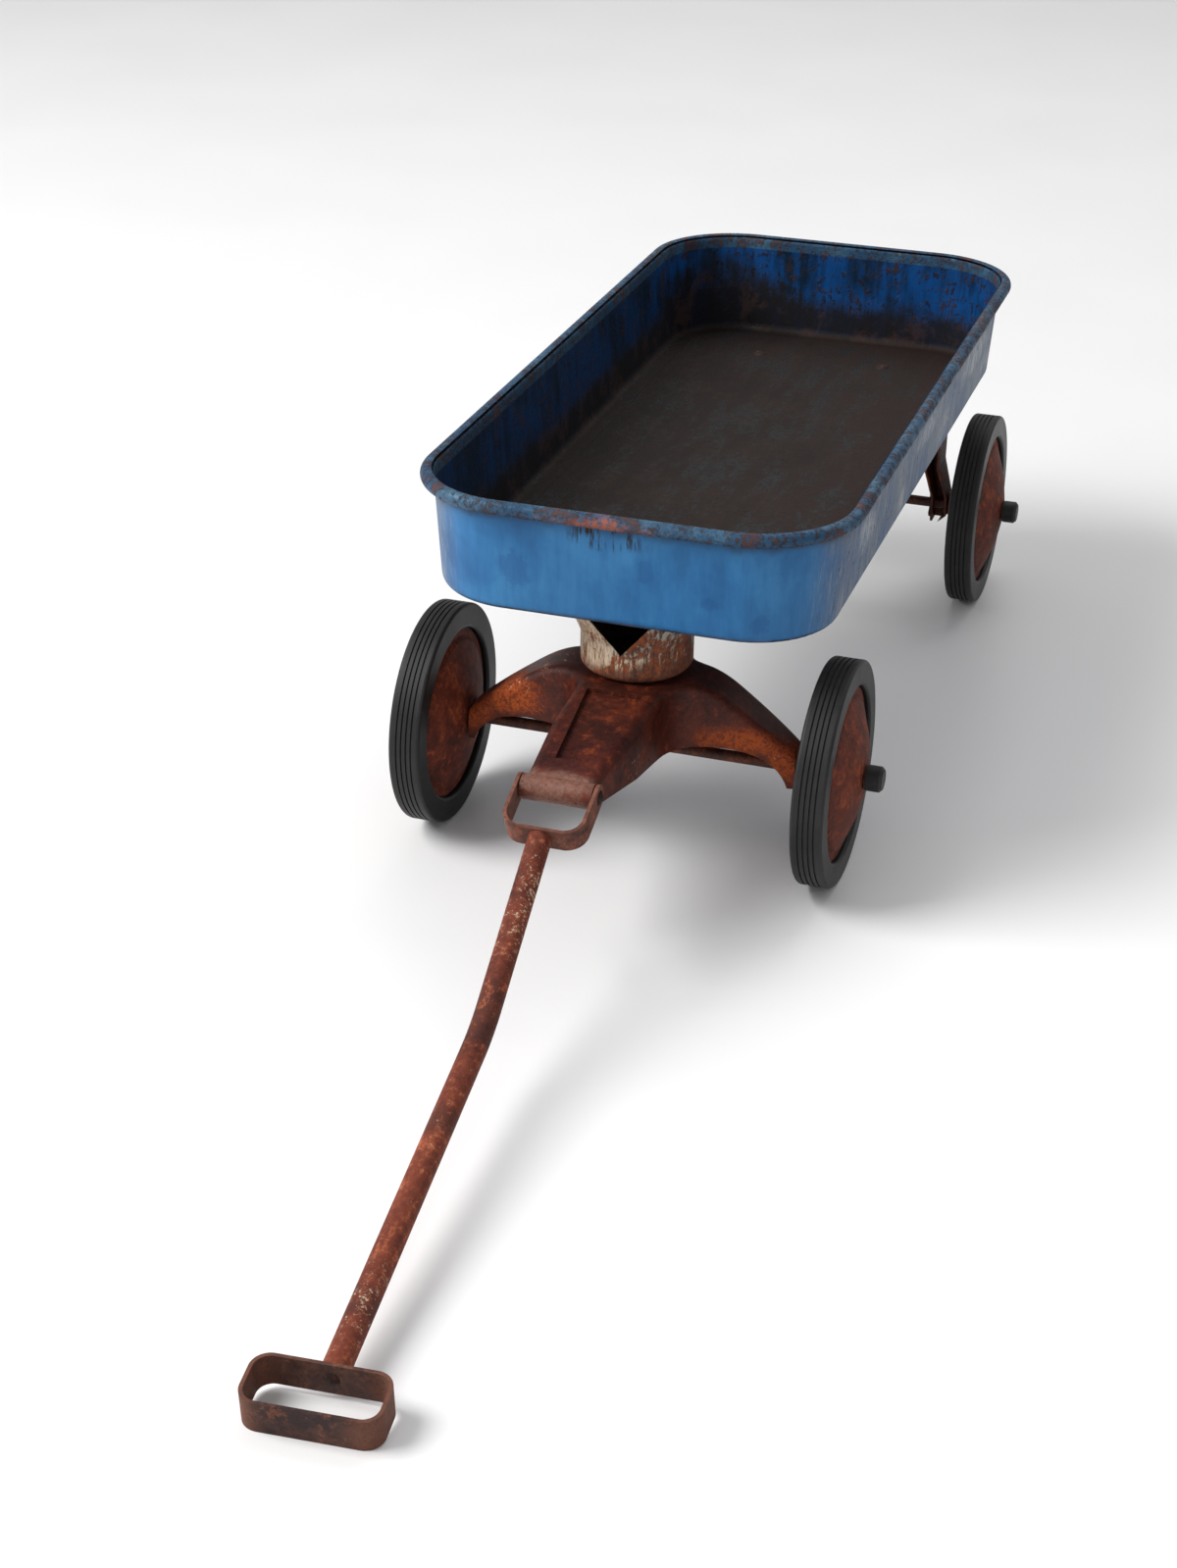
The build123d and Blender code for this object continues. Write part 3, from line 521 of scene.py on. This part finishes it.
rearLook = dict(
    forkLook,
    middle=srgb(82, 42, 28),
    light=srgb(120, 66, 40),
    bloomFrom=0.52,
    paintFrom=0.60,
    stains=[],
    bloomAt=[],
    paintAt=[([(0.0, 0.70, 0.150, 0.17, 0.06, 0.06)], 0.575)],
)
axleLook = dict(rearLook, paintAt=[], paintFrom=0.66, middle=srgb(70, 38, 30), light=srgb(98, 60, 46))
tubeLook = {
    "grain": 1.0,
    "dark": srgb(46, 20, 15),
    "middle": srgb(108, 50, 34),
    "light": srgb(146, 76, 50),
    "orange": srgb(182, 104, 68),
    "bloomFrom": 0.52,
    "bloom": 0.70,
    "pitting": 0.65,
    "paint": srgb(196, 182, 160),
    "paintFrom": 0.60,
    "paintStrength": 0.80,
    "sheen": 0.12,
    "gloss": 0.22,
    "relief": 0.0006,
    # the slope of the handle's steep and shallow runs, and the y of the bend between them
    "runs": (math.radians(23.4), math.radians(6.7), -0.40),
    "soot": srgb(48, 32, 30),
    "stains": [
        ([(0.01, -0.395, 0.067, 0.03, 0.045, 0.04), (0.022, -0.515, 0.05, 0.03, 0.02, 0.03)], "soot", 0.6),
        ([(0.03, -0.70, 0.03, 0.03, 0.02, 0.02)], "soot", 0.5),
    ],
    "paintAt": [
        ([(0.008, -0.290, 0.113, 0.03, 0.085, 0.06)], 0.535),
        ([(0.034, -0.705, 0.030, 0.03, 0.060, 0.03)], 0.535),
        ([(0.020, -0.54, 0.050, 0.03, 0.16, 0.04)], 0.575),
    ],
}
yokeLook = dict(
    tubeLook,
    dark=srgb(52, 30, 25),
    middle=srgb(104, 64, 52),
    light=srgb(132, 88, 72),
    orange=srgb(150, 82, 58),
    paintFrom=0.66,
    paintAt=[],
    stains=[],
    runs=None,
)
gripLook = dict(
    yokeLook,
    dark=srgb(30, 18, 17),
    middle=srgb(72, 45, 38),
    light=srgb(104, 70, 58),
    orange=srgb(136, 82, 58),
    bloomFrom=0.53,
    sheen=0.26,
    soot=srgb(36, 25, 27),
    stains=[([(0.036, -0.806, 0.024, 0.040, 0.016, 0.014)], "soot", 0.85)],
    bloomAt=[([(-0.008, -0.788, 0.014, 0.022, 0.05, 0.03), (0.088, -0.780, 0.014, 0.026, 0.05, 0.03)], 0.55)],
)
discLook = dict(
    forkLook,
    dark=srgb(34, 14, 10),
    middle=srgb(88, 36, 22),
    light=srgb(126, 58, 34),
    orange=srgb(164, 84, 44),
    bloomFrom=0.52,
    bloom=0.6,
    paintFrom=0.615,
    paint=srgb(176, 140, 108),
    paintStrength=0.6,
    pitting=0.70,
    sheen=0.16,
    stains=[],
    bloomAt=[],
    paintAt=[],
)
boltLook = dict(
    discLook,
    grain=2.2,
    dark=srgb(20, 13, 11),
    middle=srgb(44, 28, 23),
    light=srgb(70, 46, 37),
    orange=srgb(92, 54, 38),
    paintFrom=0.70,
)

finishes = {
    "forkRust": (forkLook, ["front_fork", "thrust_washer"]),
    "rearRust": (rearLook, ["rear_bracket"]),
    "axleRust": (axleLook, ["rear_axle", "front_axle"]),
    "tubeRust": (tubeLook, ["handle_tube", "tube_plug"]),
    "yokeRust": (yokeLook, ["yoke"]),
    "gripRust": (gripLook, ["grip"]),
    "discRust": (
        discLook,
        [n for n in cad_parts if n.endswith(("_outer_disc", "_inner_disc", "_hub_tube"))],
    ),
    "boltRust": (
        boltLook,
        [
            "collar_bolts", "collar_nuts", "kingpin_bolt", "kingpin_washer", "kingpin_nut",
            "rear_bracket_bolts", "rear_bracket_nuts", "rear_axle_cotters", "rear_axle_washers",
            "front_axle_washers", "handle_pin", "grip_bolt",
        ],
    ),
}
for name, (look, nodes) in finishes.items():
    made = rustedSteel(name, look)
    for node in nodes:
        wear(node, made)
print("rusted steel done")


# The collar under the tray: cream paint that rust has run through; painted shade darkens its inner faces.

collarLook = {
    "cream": srgb(212, 190, 164),
    "pale": srgb(150, 156, 150),
    "dirty": srgb(134, 98, 70),
    "rust": srgb(100, 44, 20),
    "dark": srgb(32, 16, 12),
    "orange": srgb(176, 88, 34),
    "gloss": 0.36,
    "relief": 0.0006,
}


def collarFinish(look):
    f = Finish("creamCollarPaint")
    low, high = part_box("front_collar")
    x, y, z = f.axes()
    nx, ny = f.facing()[:2]
    middleY = (low.y + high.y) / 2
    outside = f.step(nx * x + ny * (y - middleY), -0.004, 0.004)
    runs = f.noise(1.0, 5.0, 0.7, 0.25, f.placed(scale=(110, 110, 20)))
    fineRuns = f.noise(1.0, 6.0, 0.74, 0.2, f.placed(scale=(380, 380, 70)))
    patch = f.noise(52.0, 7.0, 0.70, 0.5)
    flake = f.noise(210.0, 8.0, 0.76, 0.3)
    speck = f.noise(460.0, 6.0, 0.74)
    pits = f.noise(820.0, 3.0, 0.6)
    rightHalf = f.step(x, 0.030, -0.030)
    level = runs * 0.34 + fineRuns * 0.26 + patch * 0.25 + flake * 0.15
    rust = f.step(level - rightHalf * 0.060, 0.450, 0.492)
    footReach = z + (patch - 0.5) * 0.03 + (fineRuns - 0.5) * 0.02 + rightHalf * 0.008
    foot = f.step(footReach, low.z + 0.022, low.z + 0.012)
    rust = f.clip(rust + foot * 0.95 + f.step(flake * 0.5 + speck * 0.5, 0.575, 0.61))
    rustLevel = patch * 0.4 + flake * 0.6
    rustTone = f.ramp(rustLevel, [(0.38, look["dark"]), (0.50, look["rust"]), (0.64, look["orange"])])
    paint = f.mix(f.step(fineRuns, 0.42, 0.62) * 0.8, look["cream"], look["dirty"])
    paint = f.mix(f.step(z, low.z + 0.020, low.z + 0.034) * (1 - rightHalf) * 0.7, paint, look["pale"])
    colour = f.mix(rust * 0.94, paint, rustTone)
    # painted shade: the inner faces of the cup are darkened almost to black
    colour = f.mix((1 - outside) * 0.9, colour, look["dark"])
    rough = rust * 0.30 + 0.46 + (speck - 0.5) * 0.2
    height = (1 - rust) * 0.5 + flake * 0.40 + pits * 0.25
    return f.done(colour, rough, height, look["relief"], look["gloss"])


wear("front_collar", collarFinish(collarLook))
print("collar done")


# Tyres and axle caps.

tyreLook = {
    "rubber": srgb(17, 17, 19),
    "worn": srgb(42, 40, 40),
    "dust": srgb(70, 66, 62),
    "rough": 0.46,
    "gloss": 0.30,
    "relief": 0.00035,
    # radii that the inner lip lies between
    "lipFrom": 0.0735,
    "lipTo": 0.0765,
}


def tyreFinish(name, look, centre):
    f = Finish(name)
    y, z = f.axes(f.placed(centre))[1:]
    reach = (y * y + z * z) ** 0.5
    cloud = f.noise(16.0, 5.0, 0.62)
    grain = f.noise(1100.0, 3.0, 0.6)
    flake = f.noise(150.0, 8.0, 0.74)
    # the wheel stands on the floor, so its centre's height is its radius
    radius = centre[2]
    crown = f.step(reach, radius - 0.0022, radius - 0.0004)
    innerLip = f.band(reach, look["lipFrom"], look["lipTo"], 0.0012)
    colour = f.mix(crown * (f.step(cloud, 0.35, 0.6) * 0.5 + 0.30), look["rubber"], look["worn"])
    colour = f.mix(innerLip * 0.4, colour, look["worn"])
    colour = f.mix(f.step(flake * 0.6 + cloud * 0.4, 0.56, 0.64) * 0.30, colour, look["dust"])
    rough = look["rough"] + (cloud - 0.5) * 0.25 + crown * 0.08
    return f.done(colour, rough, grain * 0.25 + flake * 0.25, look["relief"], look["gloss"])


for corner in ("front_left", "front_right", "rear_left", "rear_right"):
    low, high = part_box(corner + "_tyre")
    middle = (low + high) / 2
    wear(corner + "_tyre", tyreFinish(corner + "TyreRubber", tyreLook, tuple(middle)))

capLook = {
    "dark": srgb(22, 21, 23),
    "worn": srgb(48, 44, 43),
    "rough": 0.5,
    "gloss": 0.36,
    "relief": 0.0004,
}


def capFinish(look):
    f = Finish("blackCap")
    cloud = f.noise(60.0, 4.0, 0.6)
    flake = f.noise(260.0, 7.0, 0.74)
    colour = f.mix(f.step(flake * 0.5 + cloud * 0.5, 0.50, 0.60) * 0.6, look["dark"], look["worn"])
    rough = look["rough"] + (flake - 0.5) * 0.25
    return f.done(colour, rough, flake, look["relief"], look["gloss"])


capMaterial = capFinish(capLook)
for node in ("front_axle_caps", "rear_axle_caps"):
    wear(node, capMaterial)
print("tyres and caps done")
